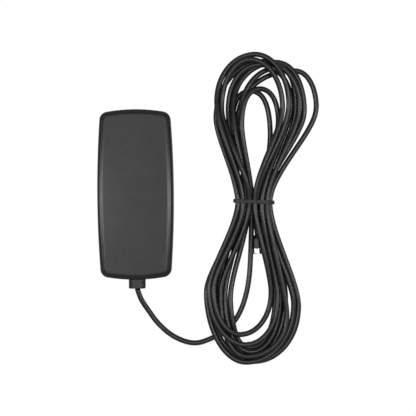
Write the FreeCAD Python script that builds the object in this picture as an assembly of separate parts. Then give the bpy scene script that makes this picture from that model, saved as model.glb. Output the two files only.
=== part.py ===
import FreeCAD, Part
import math
import os

# Low-profile interior antenna of a vehicle signal-booster kit: a flat snap-together housing with a
# printed antenna board inside, a foam tape pad under it, and a thin coaxial lead that is tied in a hank
# and ends in a small push-on radio-frequency plug.
#
# Frame: millimetres, +Z up, origin under the middle of the housing on the surface it lies on. The
# housing is long in Y, its lead leaves at -Y, and the hank lies beside it at +X.

V = FreeCAD.Vector

# Housing
housing_length = 90.0
housing_width = 40.3
housing_top = 12.0
side_bulge = 1.65
end_bulge = 1.95
corner_radius = 4.5
top_edge_radius = 3.2
base_edge_radius = 0.9
wall = 1.8
draft_inset = 0.2
tongue_thickness = 0.85
tongue_height = 1.5
fit_gap = 0.1
snap_bead_radius = 0.35
snap_bead_length = 7.0
snap_bead_spacing = 26.0

# Adhesive pad under the base
liner_thickness = 0.15
tape_thickness = 1.1
tape_recess_depth = 0.6
tape_edge_margin = 3.0
tape_corner_radius = 4.0
liner_overhang = 0.4
liner_tab_length = 2.2
liner_tab_width = 9.0

# Base and board stack
base_floor = 1.6
standoff_height = 0.7
standoff_diameter = 5.0
pin_diameter = 2.0
pin_above_board = 2.0
pin_clearance = 0.1
board_thickness = 1.0
board_side_gap = 0.7
board_far_gap = 1.4
board_cable_gap = 8.6
board_corner_radius = 2.0
post_inset = 3.4
copper_thickness = 0.07
copper_edge = 1.2
feed_tab_width = 3.6

# Coaxial cable, from the outside in
jacket_diameter = 2.8
braid_diameter = 2.0
dielectric_diameter = 1.5
core_diameter = 0.48

# Strain relief in the housing's end wall
relief_x = 0.5
relief_width = 8.9
relief_height = 5.8
relief_length = 4.7
relief_edge_radius = 2.6
neck_width = 6.6
neck_height = 4.4
flange_thickness = 1.6
saddle_width = 7.0
saddle_thickness = 1.6
saddle_setback = 0.4
jacket_strip_gap = 0.5
braid_on_board = 8.0
dielectric_stub = 1.2
core_stub = 2.6

# Hank and tie
hank_height = 8.0
tie_y = -4.2
tie_x = 62.6
tie_tilt = -2.8
tie_width = 2.1
tie_thickness = 0.65
tie_inner_width = 20.4
tie_inner_height = 7.4
tie_corner_radius = 2.6
tie_wire_diameter = 0.4
tie_tail_length = 8.0
tie_gap = 0.3

# Plug on the far end of the lead, pointing along -Y; stations run from the rear of its boot
plug_x = 64.35
plug_rear_y = -21.9
boot_length = 7.2
boot_diameter = 5.6
boot_rear_diameter = 3.9
boot_taper_length = 2.2
shell_diameter = 5.5
shell_visible = 2.8
shell_bore = 4.5
barrel_diameter = 5.0
barrel_in_boot = 1.6
spigot_diameter = 2.4
spigot_length = 2.4
braid_flared = 2.9
ferrule_diameter = 3.7
insulator_flange = 1.0
insulator_nose_diameter = 2.0
nose_setback = 0.7
contact_diameter = 1.27
contact_bore = 0.52
contact_setback = 0.2
spring_bore = 3.7
spring_finger_diameter = 4.3
spring_ring_length = 0.8
spring_setback = 0.4
slot_width = 0.35

# Derived heights
tape_bottom = liner_thickness
tape_top = tape_bottom + tape_thickness
base_bottom = tape_top - tape_recess_depth
floor_top = base_bottom + base_floor
board_bottom = floor_top + standoff_height
board_top = board_bottom + board_thickness
copper_top = board_top + copper_thickness
cable_z = copper_top + braid_diameter / 2
parting_z = cable_z
ceiling_z = housing_top - wall
pin_top = board_top + pin_above_board

# Derived plan places
end_wall_y = -housing_length / 2
board_width = housing_width - 2 * (wall + side_bulge + board_side_gap)
board_far_y = housing_length / 2 - wall - end_bulge - board_far_gap
board_near_y = end_wall_y + wall + board_cable_gap
post_x = board_width / 2 - post_inset
post_ys = (board_near_y + post_inset, board_far_y - post_inset)
relief_tip_y = end_wall_y - relief_length
jacket_end_y = board_near_y - jacket_strip_gap
braid_end_y = board_near_y + braid_on_board
dielectric_end_y = braid_end_y + dielectric_stub
core_end_y = dielectric_end_y + core_stub
ground_far_y = braid_end_y + 0.4
feed_y = dielectric_end_y + 0.4
tape_length = housing_length - 2 * (end_bulge + tape_edge_margin)
tape_width = housing_width - 2 * (side_bulge + tape_edge_margin)
lead_radius = jacket_diameter / 2
plug_z = max(boot_diameter, shell_diameter) / 2
barrel_station = boot_length - barrel_in_boot
plug_length = boot_length + shell_visible
ferrule_station = barrel_station - spigot_length - 0.6

# Route of the lead from the strain relief to the hank, lying on the surface after it has come down.
LEAD_ROUTE = [
    (0.5, -49.7, 5.02),
    (1.9, -54.9, 4.4),
    (5.6, -60.6, 2.8),
    (11.0, -68.6, 1.4),
    (19.6, -75.6, 1.4),
    (30.6, -78.9, 1.4),
    (40.4, -75.9, 1.4),
]

# Plan outline of the hank, and of the open eyes in its two loops.
HANK_OUTLINE = [
    (52.4, -4.5), (50.4, 9.0), (45.6, 22.0), (41.8, 38.0), (42.6, 54.0), (50.4, 67.8), (63.7, 74.6),
    (79.0, 69.4), (91.7, 62.2), (97.0, 49.0), (93.4, 34.5), (83.4, 19.4), (74.2, 6.0), (72.6, -6.0),
    (75.0, -23.0), (83.2, -41.0), (87.4, -57.0), (83.6, -73.4), (73.6, -84.8), (58.8, -90.0),
    (45.6, -84.4), (38.2, -70.0), (36.0, -52.0), (40.0, -37.6), (47.6, -23.4),
]
UPPER_EYE = [
    (63.2, 6.0), (60.2, 18.0), (58.0, 34.0), (59.2, 47.0), (63.4, 52.6), (68.2, 47.0), (70.0, 34.0),
    (67.0, 18.0),
]
LOWER_EYE = [
    (64.4, -14.6), (60.2, -20.0), (56.4, -34.0), (50.4, -50.0), (49.6, -62.0), (54.0, -72.0),
    (63.4, -71.0), (69.6, -61.0), (70.4, -46.0), (69.4, -32.0), (68.4, -20.0),
]


def outline_wire(inset, z):
    """Plan outline of the housing moved inwards by inset: four shallow arcs that bulge outwards."""
    half_width = housing_width / 2 - inset
    half_length = housing_length / 2 - inset
    x = half_width - side_bulge
    y = half_length - end_bulge
    corners = [V(x, -y, z), V(x, y, z), V(-x, y, z), V(-x, -y, z)]
    middles = [V(half_width, 0, z), V(0, half_length, z), V(-half_width, 0, z), V(0, -half_length, z)]
    edges = []
    for index, middle in enumerate(middles):
        arc = Part.Arc(corners[index], middle, corners[(index + 1) % 4])
        edges.append(arc.toShape())
    return Part.Wire(edges)


def upright_edges(shape):
    """Edges that join a low point to a high one, which are the corners of a prism."""
    found = []
    for edge in shape.Edges:
        heights = [vertex.Point.z for vertex in edge.Vertexes]
        if max(heights) - min(heights) > 0.1:
            found.append(edge)
    return found


def edges_at(shape, z):
    """Edges that lie wholly in the plane at height z."""
    return [edge for edge in shape.Edges
            if abs(edge.BoundBox.ZMin - z) < 1e-4 and abs(edge.BoundBox.ZMax - z) < 1e-4]


def housing_prism(inset, bottom, top, taper=0.0):
    """Prism on the housing's outline, drawn in by taper at its top, with its corners rounded."""
    lower = outline_wire(inset, bottom)
    upper = outline_wire(inset + taper, top)
    body = Part.makeLoft([lower, upper], True, True)
    return body.makeFillet(max(corner_radius - inset, 0.6), upright_edges(body))


def round_plate(width, length, thickness, radius, centre):
    """Rectangular plate with rounded corners; centre is the middle of its underside."""
    corner = centre - V(width / 2, length / 2, 0)
    plate = Part.makeBox(width, length, thickness, corner)
    return plate.makeFillet(radius, upright_edges(plate))


def rod_along_y(diameter, y_start, y_end, x, z):
    """Cylinder along Y between two stations."""
    low = min(y_start, y_end)
    return Part.makeCylinder(diameter / 2, abs(y_end - y_start), V(x, low, z), V(0, 1, 0))


def post_places():
    """The four places where pins, board holes and cover posts line up."""
    return [(x, y) for x in (-post_x, post_x) for y in post_ys]


def posts(diameter, bottom, top):
    """One upright cylinder at each of the four places."""
    shapes = [Part.makeCylinder(diameter / 2, top - bottom, V(x, y, bottom)) for x, y in post_places()]
    return shapes[0].multiFuse(shapes[1:])


def relief_block(width, height, y_start, y_end):
    """Rectangular block round the cable's axis at the housing's cable end."""
    low = min(y_start, y_end)
    corner = V(relief_x - width / 2, low, cable_z - height / 2)
    return Part.makeBox(width, abs(y_end - y_start), height, corner)


def wall_notch():
    """Opening through the end wall that the neck of the strain relief fills."""
    return relief_block(neck_width, neck_height, end_wall_y - 1, end_wall_y + wall + 0.5)


def snap_beads(radius):
    """Half-sunk round beads along the outside of the tongue, two on each long side."""
    x = housing_width / 2 - wall + tongue_thickness
    z = parting_z + tongue_height / 2
    beads = []
    for side in (-1, 1):
        for y in (-snap_bead_spacing / 2, snap_bead_spacing / 2):
            start = y - snap_bead_length / 2
            beads.append(rod_along_y(2 * radius, start, start + snap_bead_length, side * x, z))
    return beads[0].multiFuse(beads[1:])


def make_top_cover():
    """Upper shell: rounded roof and walls, a rebate for the tongue and four posts on the board."""
    outer = housing_prism(0, parting_z, housing_top, draft_inset)
    outer = outer.makeFillet(top_edge_radius, edges_at(outer, housing_top))
    cavity = housing_prism(wall, parting_z - 1, ceiling_z, draft_inset)
    cavity = cavity.makeFillet(top_edge_radius - wall, edges_at(cavity, ceiling_z))
    rebate_inset = wall - tongue_thickness - fit_gap
    rebate = housing_prism(rebate_inset, parting_z - 1, parting_z + tongue_height + fit_gap)
    shell = outer.cut(cavity).cut(rebate)
    columns = posts(standoff_diameter, board_top + fit_gap, ceiling_z + 0.4)
    shell = shell.fuse(columns)
    shell = shell.cut(posts(pin_diameter + 2 * pin_clearance, board_top - 1, pin_top + fit_gap))
    shell = shell.cut(snap_beads(snap_bead_radius + fit_gap))
    clamp_y = jacket_end_y - saddle_setback - saddle_thickness
    rib = Part.makeBox(saddle_width, saddle_thickness, ceiling_z + 0.4 - parting_z - fit_gap,
                       V(relief_x - saddle_width / 2, clamp_y, parting_z + fit_gap))
    shell = shell.fuse(rib)
    shell = shell.cut(rod_along_y(jacket_diameter, clamp_y - 0.1, jacket_end_y, relief_x, cable_z))
    return shell.cut(wall_notch())


def make_base_cover():
    """Lower shell: tray with a tape recess, a tongue with snap beads, standoffs, pins and a saddle."""
    outer = housing_prism(0, base_bottom, parting_z)
    outer = outer.makeFillet(base_edge_radius, edges_at(outer, base_bottom))
    tongue_inset = wall - tongue_thickness
    tongue = housing_prism(tongue_inset, parting_z - 0.5, parting_z + tongue_height)
    body = outer.fuse(tongue).fuse(snap_beads(snap_bead_radius))
    body = body.cut(housing_prism(wall, floor_top, parting_z + tongue_height + 1))
    body = body.fuse(posts(standoff_diameter, floor_top - 0.4, board_bottom))
    body = body.fuse(posts(pin_diameter, board_bottom - 0.4, pin_top))
    saddle_y = jacket_end_y - saddle_setback - saddle_thickness
    saddle_corner = V(relief_x - saddle_width / 2, saddle_y, floor_top - 0.4)
    saddle = Part.makeBox(saddle_width, saddle_thickness, cable_z - floor_top + 0.4, saddle_corner)
    body = body.fuse(saddle)
    body = body.cut(rod_along_y(jacket_diameter, saddle_y - 0.1, jacket_end_y, relief_x, cable_z))
    recess = round_plate(tape_width + 2 * fit_gap, tape_length + 2 * fit_gap, tape_recess_depth + 1,
                         tape_corner_radius + fit_gap, V(0, 0, base_bottom - 1))
    body = body.cut(recess)
    return body.cut(wall_notch())


def make_mounting_tape():
    """Double-sided foam tape pad in the recess under the base."""
    return round_plate(tape_width, tape_length, tape_thickness, tape_corner_radius, V(0, 0, tape_bottom))


def make_release_liner():
    """Peel-off film under the tape, a little larger than it, with a pull tab at the far end."""
    sheet = round_plate(tape_width + 2 * liner_overhang, tape_length + 2 * liner_overhang,
                        liner_thickness, tape_corner_radius + liner_overhang, V(0, 0, 0))
    tab_y = tape_length / 2 + liner_overhang
    tab = round_plate(liner_tab_width, 2 * liner_tab_length, liner_thickness, liner_tab_length / 2,
                      V(0, tab_y, 0))
    return sheet.fuse(tab).removeSplitter()


def make_antenna_board():
    """Glass-fibre board with four locating holes."""
    length = board_far_y - board_near_y
    centre = V(0, (board_far_y + board_near_y) / 2, board_bottom)
    board = round_plate(board_width, length, board_thickness, board_corner_radius, centre)
    return board.cut(posts(pin_diameter + 2 * pin_clearance, board_bottom - 1, board_top + 1))


def copper_sheet(points):
    """Thin copper figure on the upper face of the board, from its corner points."""
    loop = [V(x, y, board_top) for x, y in points]
    return Part.Face(Part.makePolygon(loop + loop[:1])).extrude(V(0, 0, copper_thickness))


def make_ground_copper():
    """Ground plane at the cable end, with an arm up each side, kept clear of the posts."""
    half = board_width / 2 - copper_edge
    arm = 2.6
    low = board_near_y + copper_edge
    arm_far = ground_far_y + 22.0
    points = [(-half, low), (half, low), (half, arm_far), (half - arm, arm_far),
              (half - arm, ground_far_y), (-half + arm, ground_far_y), (-half + arm, arm_far),
              (-half, arm_far)]
    sheet = copper_sheet(points)
    return sheet.cut(posts(standoff_diameter + 2 * copper_edge, board_bottom, board_top + 1))


def make_radiator_copper():
    """Radiator: a feed tab that flares into a wide blade, folded by slots from alternate sides."""
    half = board_width / 2 - copper_edge - 4.0
    flare_far = feed_y + 14.0
    far = board_far_y - copper_edge
    left = relief_x - feed_tab_width / 2
    right = relief_x + feed_tab_width / 2
    tab_far = feed_y + 3.0
    points = [(left, feed_y), (right, feed_y), (right, tab_far), (half, flare_far), (half, far),
              (-half, far), (-half, flare_far), (left, tab_far)]
    sheet = copper_sheet(points)
    slot_pitch = (far - flare_far) / 5
    slot_length = 1.4 * half
    for index in range(4):
        side = 1 if index % 2 else -1
        y = flare_far + (index + 1) * slot_pitch
        x = half - slot_length if side > 0 else -half
        slot = Part.makeBox(slot_length, 1.2, 1, V(x, y - 0.6, board_top - 0.5))
        sheet = sheet.cut(slot)
    return sheet.cut(posts(standoff_diameter + 2 * copper_edge, board_bottom, board_top + 1))


def make_housing_cable_end():
    """Stripped end of the cable in the housing: jacket, braid, dielectric and core."""
    jacket = rod_along_y(jacket_diameter, relief_tip_y, jacket_end_y, relief_x, cable_z)
    braid = rod_along_y(braid_diameter, relief_tip_y, braid_end_y, relief_x, cable_z)
    dielectric = rod_along_y(dielectric_diameter, relief_tip_y, dielectric_end_y, relief_x, cable_z)
    core = rod_along_y(core_diameter, relief_tip_y, core_end_y, relief_x, cable_z)
    return {
        "cable_jacket_end": jacket.cut(braid),
        "cable_braid_end": braid.cut(dielectric),
        "cable_dielectric_end": dielectric.cut(core),
        "cable_core_end": core,
    }


def make_ground_solder():
    """Solder fillet along both sides of the braid on the ground plane."""
    length = 3.6
    width = braid_diameter + 2.2
    y = braid_end_y - length - 1.0
    block = Part.makeBox(width, length, braid_diameter * 0.7, V(relief_x - width / 2, y, copper_top))
    block = block.makeFillet(0.6, edges_at(block, copper_top + braid_diameter * 0.7))
    return block.cut(rod_along_y(braid_diameter, y - 1, y + length + 1, relief_x, cable_z))


def make_feed_solder():
    """Domed solder joint that ties the core to the feed tab."""
    radius = braid_diameter / 2 + core_diameter / 2 + 0.25
    y = core_end_y - 0.9
    dome = Part.makeSphere(radius, V(relief_x, y, copper_top))
    above = Part.makeBox(6, 6, 3, V(relief_x - 3, y - 3, copper_top))
    core = rod_along_y(core_diameter, y - 3, core_end_y, relief_x, cable_z)
    dome = dome.common(above)
    return dome.cut(core)


def make_strain_relief():
    """Moulded boot that grips the jacket, with a neck in the wall and a flange inside it."""
    outside = relief_block(relief_width, relief_height, relief_tip_y, end_wall_y + end_bulge)
    outside = outside.makeFillet(relief_edge_radius, [
        edge for edge in outside.Edges if edge.BoundBox.YLength > relief_length])
    tip_edges = [edge for edge in outside.Edges
                 if abs(edge.BoundBox.YMin - relief_tip_y) < 1e-4 and edge.BoundBox.YLength < 1e-4]
    outside = outside.makeFillet(0.5, tip_edges)
    outside = outside.cut(housing_prism(0, 0, housing_top))
    neck = relief_block(neck_width, neck_height, end_wall_y - 0.5, end_wall_y + wall + flange_thickness)
    flange_end_y = end_wall_y + wall + flange_thickness
    flange = relief_block(neck_width + 2.0, neck_height + 0.6, end_wall_y, flange_end_y)
    flange = flange.common(housing_prism(wall + draft_inset, 0, housing_top))
    boot = outside.fuse(neck).fuse(flange)
    return boot.cut(rod_along_y(jacket_diameter, relief_tip_y - 1, board_near_y, relief_x, cable_z))


def route_points(route):
    """Points of a route as vectors."""
    return [V(*point) for point in route]


def rounded_path(points):
    """Straight runs joined by tangent arcs, each arc as large as its two runs allow."""
    edges = []
    radii = []
    length = 0.0
    start = points[0]
    for index in range(1, len(points) - 1):
        before = points[index] - points[index - 1]
        after = points[index + 1] - points[index]
        turn = before.getAngle(after)
        reach = 0.45 * min(before.Length, after.Length)
        radius = reach / math.tan(turn / 2)
        into = V(before).normalize()
        out = V(after).normalize()
        first = points[index] - into * reach
        last = points[index] + out * reach
        inward = (out - into).normalize()
        depth = radius / math.cos(turn / 2) - radius
        middle = points[index] + inward * depth
        edges.append(Part.LineSegment(start, first).toShape())
        edges.append(Part.Arc(first, middle, last).toShape())
        length += (first - start).Length + radius * turn
        radii.append(round(radius, 1))
        start = last
    edges.append(Part.LineSegment(start, points[-1]).toShape())
    length += (points[-1] - start).Length
    return Part.Wire(edges), length, radii


def make_tube(points, diameter, label):
    """Round tube along the rounded path; its volume is compared with section times length."""
    path, length, radii = rounded_path(points)
    direction = points[1] - points[0]
    circle = Part.Wire(Part.makeCircle(diameter / 2, points[0], direction))
    tube = path.makePipeShell([circle], True, False)
    expected = math.pi * diameter ** 2 / 4 * length
    print(label, "length", round(length, 1), "radii", radii, "volume ratio", round(tube.Volume / expected, 4))
    return tube


def closed_spline_face(points):
    """Flat face inside one smooth closed curve through the points."""
    curve = Part.BSplineCurve()
    curve.interpolate(Points=[V(x, y, 0) for x, y in points], PeriodicFlag=True)
    return Part.Face(Part.Wire(curve.toShape()))


def make_hank():
    """Outer shape of the coiled lead: one closed solid with an eye in each loop and a tie groove."""
    plan = closed_spline_face(HANK_OUTLINE)
    plan = plan.cut(closed_spline_face(UPPER_EYE)).cut(closed_spline_face(LOWER_EYE))
    body = plan.extrude(V(0, 0, hank_height)).Solids[0]
    groove = tie_ring(tie_inner_width + 20, tie_inner_height + 20, tie_width + 2 * tie_gap,
                      tie_inner_width - 2 * tie_gap, tie_inner_height - 2 * tie_gap)
    body = body.cut(groove)
    return body.cut(tie_tail(tie_gap))


def tie_ring(outer_width, outer_height, width, inner_width, inner_height):
    """Rectangular ring round the waist of the hank, standing across it, tilted a little in plan."""
    middle_z = tie_thickness + tie_inner_height / 2
    def block(size_x, size_z, size_y, radius):
        corner = V(tie_x - size_x / 2, tie_y - size_y / 2, middle_z - size_z / 2)
        box = Part.makeBox(size_x, size_y, size_z, corner)
        along = [edge for edge in box.Edges if edge.BoundBox.YLength > size_y - 1e-4]
        return box.makeFillet(radius, along)
    outer = block(outer_width, outer_height, width, tie_corner_radius + tie_thickness)
    inner = block(inner_width, inner_height, width + 2, tie_corner_radius)
    ring = outer.cut(inner)
    ring.rotate(V(tie_x, tie_y, 0), V(0, 0, 1), tie_tilt)
    return ring


def tie_tail(grow):
    """Twisted tail of the tie, folded back along the underside of the hank."""
    height = 2 * tie_thickness
    corner = V(tie_x - tie_width / 2 - grow, tie_y - tie_width / 2 - tie_tail_length - grow, -grow)
    tail = Part.makeBox(tie_width + 2 * grow, tie_tail_length + 2 * grow, height + 2 * grow, corner)
    return tail.common(Part.makeBox(200, 200, 50, V(tie_x - 100, tie_y - 100, 0)))


def make_twist_tie():
    """Plastic strip round the waist with its tail, and the steel wire that runs in its middle."""
    strip = tie_ring(tie_inner_width + 2 * tie_thickness, tie_inner_height + 2 * tie_thickness, tie_width,
                     tie_inner_width, tie_inner_height)
    strip = strip.fuse(tie_tail(0)).removeSplitter()
    margin = (tie_thickness - tie_wire_diameter) / 2
    wire = tie_ring(tie_inner_width + 2 * (tie_thickness - margin),
                    tie_inner_height + 2 * (tie_thickness - margin), tie_wire_diameter,
                    tie_inner_width + 2 * margin, tie_inner_height + 2 * margin)
    return strip.cut(wire), wire


def turned(profile):
    """Solid turned about the plug's axis from (station, radius) points, stations running along -Y."""
    loop = [V(plug_x + radius, plug_rear_y - station, plug_z) for station, radius in profile]
    face = Part.Face(Part.makePolygon(loop + loop[:1]))
    return face.revolve(V(plug_x, plug_rear_y, plug_z), V(0, 1, 0), 360)


def sleeve(start, end, outer_diameter, inner_diameter):
    """Profile of a plain round sleeve between two stations."""
    outer = outer_diameter / 2
    inner = inner_diameter / 2
    return [(start, inner), (start, outer), (end, outer), (end, inner)]


def slots(start, end, count, first_angle):
    """Thin blades round the plug's axis that cut slots into a sleeve."""
    blades = []
    for index in range(count):
        blade = Part.makeBox(slot_width, end - start, shell_diameter,
                             V(plug_x - slot_width / 2, plug_rear_y - end, plug_z))
        angle = first_angle + index * 360.0 / count
        blade.rotate(V(plug_x, plug_rear_y, plug_z), V(0, 1, 0), angle)
        blades.append(blade)
    return blades[0].multiFuse(blades[1:])


def make_plug():
    """Push-on plug: boot, ferrule, shell, spring collet, insulator, contact and the stripped cable."""
    jacket_end = ferrule_station
    flare_start = jacket_end
    flare_end = barrel_station - spigot_length
    cavity = barrel_station + 0.6
    tip = plug_length
    boot_outer = turned([
        (0, 0), (0, boot_rear_diameter / 2), (boot_taper_length * 0.5, boot_diameter / 2 - 0.25),
        (boot_taper_length, boot_diameter / 2), (boot_length, boot_diameter / 2), (boot_length, 0)])
    boot_core = turned([
        (-1, 0), (-1, lead_radius), (jacket_end, lead_radius), (jacket_end, ferrule_diameter / 2),
        (barrel_station, ferrule_diameter / 2), (barrel_station, barrel_diameter / 2),
        (boot_length + 1, barrel_diameter / 2), (boot_length + 1, 0)])
    ferrule = turned([
        (jacket_end, braid_diameter / 2), (jacket_end, ferrule_diameter / 2),
        (barrel_station, ferrule_diameter / 2), (barrel_station, braid_flared / 2),
        (flare_end, braid_flared / 2), (flare_start, braid_diameter / 2)])
    braid = turned([
        (0, dielectric_diameter / 2), (0, braid_diameter / 2), (flare_start, braid_diameter / 2),
        (flare_end, braid_flared / 2), (barrel_station, braid_flared / 2),
        (barrel_station, spigot_diameter / 2), (flare_end, spigot_diameter / 2),
        (flare_end, dielectric_diameter / 2)])
    shell = turned([
        (flare_end, dielectric_diameter / 2), (flare_end, spigot_diameter / 2),
        (barrel_station, spigot_diameter / 2), (barrel_station, barrel_diameter / 2),
        (boot_length, barrel_diameter / 2), (boot_length, shell_diameter / 2),
        (tip - 0.25, shell_diameter / 2), (tip, shell_diameter / 2 - 0.25), (tip, shell_bore / 2),
        (cavity, shell_bore / 2), (cavity, dielectric_diameter / 2)])
    flange_end = cavity + insulator_flange
    nose_end = tip - nose_setback
    insulator = turned([
        (cavity, contact_diameter / 2), (cavity, shell_bore / 2), (flange_end, shell_bore / 2),
        (flange_end, insulator_nose_diameter / 2), (nose_end, insulator_nose_diameter / 2),
        (nose_end, contact_diameter / 2)])
    ring_end = flange_end + spring_ring_length
    spring_end = tip - spring_setback
    spring = turned([
        (flange_end, spring_bore / 2), (flange_end, shell_bore / 2), (ring_end, shell_bore / 2),
        (ring_end, spring_finger_diameter / 2), (spring_end, spring_finger_diameter / 2),
        (spring_end, spring_bore / 2)])
    spring = spring.cut(slots(ring_end, spring_end + 1, 6, 30.0))
    contact_end = nose_end - contact_setback
    contact = turned([
        (cavity, 0), (cavity, contact_diameter / 2), (contact_end, contact_diameter / 2),
        (contact_end, contact_bore / 2), (cavity + 1.0, contact_bore / 2), (cavity + 1.0, 0)])
    contact = contact.cut(slots(contact_end - 1.4, contact_end + 1, 2, 0.0))
    return {
        "plug_boot": boot_outer.cut(boot_core),
        "crimp_ferrule": ferrule,
        "plug_shell": shell,
        "plug_spring": spring,
        "plug_insulator": insulator,
        "plug_contact": contact,
        "plug_jacket_end": turned(sleeve(0, jacket_end, jacket_diameter, braid_diameter)),
        "plug_braid_end": braid,
        "plug_dielectric_end": turned(sleeve(0, cavity, dielectric_diameter, core_diameter)),
        "plug_core_end": turned([(0, 0), (0, core_diameter / 2), (cavity, core_diameter / 2), (cavity, 0)]),
    }


def make_leads(hank):
    """Free stretches of the lead outside the hank, trimmed where they run into it."""
    lead = make_tube(route_points(LEAD_ROUTE), jacket_diameter, "cable_lead")
    start = V(*LEAD_ROUTE[0])
    slope = (V(*LEAD_ROUTE[1]) - start).normalize()
    lead = lead.fuse(Part.makeCylinder(lead_radius, lead_radius, start - slope * lead_radius, slope))
    lead = lead.cut(relief_block(relief_width, relief_height * 2, relief_tip_y, end_wall_y))
    stub = rod_along_y(jacket_diameter, plug_rear_y, tie_y - tie_tail_length - 1, plug_x, plug_z)
    return lead.cut(hank), stub.cut(hank)


def largest_solid(shape):
    """The biggest solid of a boolean result, so that no crumb is kept."""
    return max(shape.Solids, key=lambda solid: solid.Volume)


def build():
    """All sub-parts by node name."""
    hank = make_hank()
    lead, stub = make_leads(hank)
    tie, tie_wire = make_twist_tie()
    nodes = {
        "top_cover": make_top_cover(),
        "base_cover": make_base_cover(),
        "mounting_tape": make_mounting_tape(),
        "release_liner": make_release_liner(),
        "antenna_board": make_antenna_board(),
        "radiator_copper": make_radiator_copper(),
        "ground_copper": make_ground_copper(),
        "feed_solder": make_feed_solder(),
        "ground_solder": make_ground_solder(),
        "strain_relief": make_strain_relief(),
        "cable_lead": largest_solid(lead),
        "cable_hank": hank,
        "cable_plug_end": largest_solid(stub),
        "twist_tie": tie,
        "tie_wire": tie_wire,
    }
    nodes.update(make_housing_cable_end())
    nodes.update(make_plug())
    return nodes


def export(nodes):
    """One STEP file for each node."""
    os.makedirs("parts", exist_ok=True)
    for name, shape in nodes.items():
        solids = shape.Solids
        print(name, len(solids), "solid", "valid" if shape.isValid() else "NOT VALID", round(shape.Volume, 2))
        body = solids[0] if len(solids) == 1 else Part.makeCompound(solids)
        body.exportStep("parts/" + name + ".step")


export(build())
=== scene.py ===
import math

import bpy
import numpy as np
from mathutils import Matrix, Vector


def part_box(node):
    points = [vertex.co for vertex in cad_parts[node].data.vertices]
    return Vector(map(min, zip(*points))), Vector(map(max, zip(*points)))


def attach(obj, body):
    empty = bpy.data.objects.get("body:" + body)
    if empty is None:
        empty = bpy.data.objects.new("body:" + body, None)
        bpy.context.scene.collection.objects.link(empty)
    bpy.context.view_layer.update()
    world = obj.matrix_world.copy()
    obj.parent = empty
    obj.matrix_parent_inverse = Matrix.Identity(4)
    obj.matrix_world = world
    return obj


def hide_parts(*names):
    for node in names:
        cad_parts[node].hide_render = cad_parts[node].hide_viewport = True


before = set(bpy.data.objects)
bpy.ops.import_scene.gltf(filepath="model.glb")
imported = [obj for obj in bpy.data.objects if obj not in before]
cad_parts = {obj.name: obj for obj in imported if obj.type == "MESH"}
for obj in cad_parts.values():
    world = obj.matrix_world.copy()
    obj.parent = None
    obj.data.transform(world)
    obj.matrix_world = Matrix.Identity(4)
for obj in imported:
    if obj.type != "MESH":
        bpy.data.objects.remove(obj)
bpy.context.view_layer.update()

# A low-profile interior antenna with its coaxial lead wound in a figure of eight. Lengths are in metres,
# and MM turns millimetres into them. The housing's middle is over the origin, and the lead leaves along -Y.

MM = 0.001

# ---------------------------------------------------------------------------------------------------- camera

VIEW_CENTRE = (38.2 * MM, -7.4 * MM)   # the point on the surface that the camera looks straight down on
VIEW_WIDTH = 220.1 * MM                # width of surface in the frame, at the height of the hank's middle
VIEW_HEIGHT = 5 * MM                   # height of that plane
VIEW_ROLL = math.radians(-0.41)        # the housing leans by this much in the frame
LONG_LENS = 120
SENSOR = 36

lens = bpy.data.cameras.new("long_lens")
lens.lens = LONG_LENS
lens.sensor_width = SENSOR
lens.clip_start = 0.01
camera = bpy.data.objects.new("camera", lens)
camera.location = (*VIEW_CENTRE, VIEW_HEIGHT + VIEW_WIDTH * LONG_LENS / SENSOR)
camera.rotation_euler = (0, 0, VIEW_ROLL)
bpy.context.scene.collection.objects.link(camera)
bpy.context.scene.camera = camera
bpy.context.scene.view_settings.view_transform = "Standard"


# ------------------------------------------------------------------------------------------------- materials

def linear(hex_colour):
    """Linear red, green, blue and 1 of an sRGB hex value: each channel through the inverse sRGB curve."""
    srgb = np.array([int(hex_colour[i:i + 2], 16) / 255 for i in (1, 3, 5)])
    return (*np.where(srgb <= 0.04045, srgb / 12.92, ((srgb + 0.055) / 1.055) ** 2.4), 1.0)


def add(tree, kind, settings=None, inputs=None):
    """A new node of that kind: settings are its attributes, inputs its sockets' values or what to link."""
    made = tree.nodes.new(kind)
    for key, value in (settings or {}).items():
        setattr(made, key, value)
    for key, value in (inputs or {}).items():
        if isinstance(value, bpy.types.NodeSocket):
            tree.links.new(value, made.inputs[key])
        else:
            made.inputs[key].default_value = value
    return made


def finish_of(name, **sockets):
    """A new material of that name with its Principled shader's sockets set, as material, tree and shader."""
    made = bpy.data.materials.new(name)
    made.use_nodes = True
    tree = made.node_tree
    shader = tree.nodes["Principled BSDF"]
    for key, value in sockets.items():
        shader.inputs[key.replace("_", " ")].default_value = value
    return made, tree, shader


def object_point(tree, stretch=(1, 1, 1), centre=(0, 0, 0)):
    """Object coordinates measured from centre, multiplied by stretch."""
    place = add(tree, "ShaderNodeTexCoord").outputs["Object"]
    moved = add(tree, "ShaderNodeVectorMath", {"operation": "SUBTRACT"}, {0: place, 1: centre}).outputs[0]
    return add(tree, "ShaderNodeVectorMath", {"operation": "MULTIPLY"}, {0: moved, 1: stretch}).outputs[0]


def run_point(tree, stretch):
    """A swept piece's place round and along it, in metres, with the place along multiplied by stretch."""
    lay = add(tree, "ShaderNodeUVMap", {"uv_map": "run"}).outputs["UV"]
    return add(tree, "ShaderNodeVectorMath", {"operation": "MULTIPLY"},
               {0: lay, 1: (1, stretch, 1)}).outputs[0]


def grain(tree, point, size, detail=2.0, rough=0.5):
    """Noise whose grains are about size across, from 0 to 1 and mostly near 0.5."""
    return add(tree, "ShaderNodeTexNoise", None,
               {"Vector": point, "Scale": 1 / size, "Detail": detail, "Roughness": rough}).outputs["Fac"]


def spread(tree, value, low, high, start=0.3, end=0.7):
    """value from start to end is spread over low to high."""
    return add(tree, "ShaderNodeMapRange", None, {
        "Value": value, "From Min": start, "From Max": end, "To Min": low, "To Max": high}).outputs["Result"]


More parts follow.
